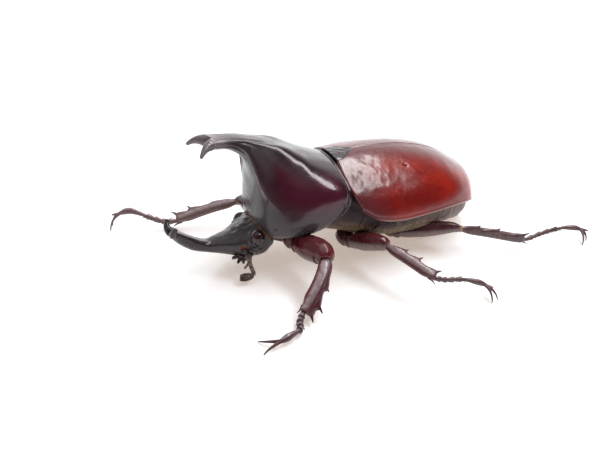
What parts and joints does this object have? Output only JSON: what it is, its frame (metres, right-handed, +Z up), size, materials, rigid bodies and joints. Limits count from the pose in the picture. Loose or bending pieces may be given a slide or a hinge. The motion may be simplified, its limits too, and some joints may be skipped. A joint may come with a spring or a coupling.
{
  "type": "rhinoceros beetle",
  "caption": "Male rhinoceros beetle standing on its legs, with a forked horn on the shield and another on the head; a still life-size model.",
  "frame": {"origin": "on the floor under the middle of the whole beetle", "axes": "-X along the body to the head, +Y to the beetle's right side, +Z up"},
  "size_m": [0.0814, 0.0578, 0.0271],
  "materials": {
    "dark_shell": "glossy blackish brown shell with a maroon cast",
    "red_shell": "glossy mahogany red shell",
    "leg_shell": "glossy dark maroon shell",
    "feeler": "satin dark brown shell",
    "underside": "satin brown shell with a coat of short golden hairs",
    "eye": "polished dark maroon"
  },
  "bodies": {
    "root": {"pronotum": "dark_shell", "thoracic_horn": "dark_shell", "prosternum": "underside", "head": "dark_shell", "head_horn": "dark_shell", "eye_left": "eye", "eye_right": "eye", "mandible_left": "dark_shell", "palp_left": "feeler", "mandible_right": "dark_shell", "palp_right": "feeler", "antenna_left": "feeler", "antenna_club_left": "feeler", "antenna_right": "feeler", "antenna_club_right": "feeler", "elytron_left": "red_shell", "elytron_right": "red_shell", "scutellum": "dark_shell", "mesothorax": "underside", "metathorax": "underside", "abdomen": "underside", "pygidium": "red_shell", "fore_left_coxa": "leg_shell", "fore_left_femur": "leg_shell", "fore_left_tibia": "leg_shell", "fore_left_tarsus": "leg_shell", "fore_left_claws": "leg_shell", "mid_left_coxa": "leg_shell", "mid_left_femur": "leg_shell", "mid_left_tibia": "leg_shell", "mid_left_tarsus": "leg_shell", "mid_left_claws": "leg_shell", "hind_left_coxa": "leg_shell", "hind_left_femur": "leg_shell", "hind_left_tibia": "leg_shell", "hind_left_tarsus": "leg_shell", "hind_left_claws": "leg_shell", "fore_right_coxa": "leg_shell", "fore_right_femur": "leg_shell", "fore_right_tibia": "leg_shell", "fore_right_tarsus": "leg_shell", "fore_right_claws": "leg_shell", "mid_right_coxa": "leg_shell", "mid_right_femur": "leg_shell", "mid_right_tibia": "leg_shell", "mid_right_tarsus": "leg_shell", "mid_right_claws": "leg_shell", "hind_right_coxa": "leg_shell", "hind_right_femur": "leg_shell", "hind_right_tibia": "leg_shell", "hind_right_tarsus": "leg_shell", "hind_right_claws": "leg_shell"}
  },
  "joints": []
}
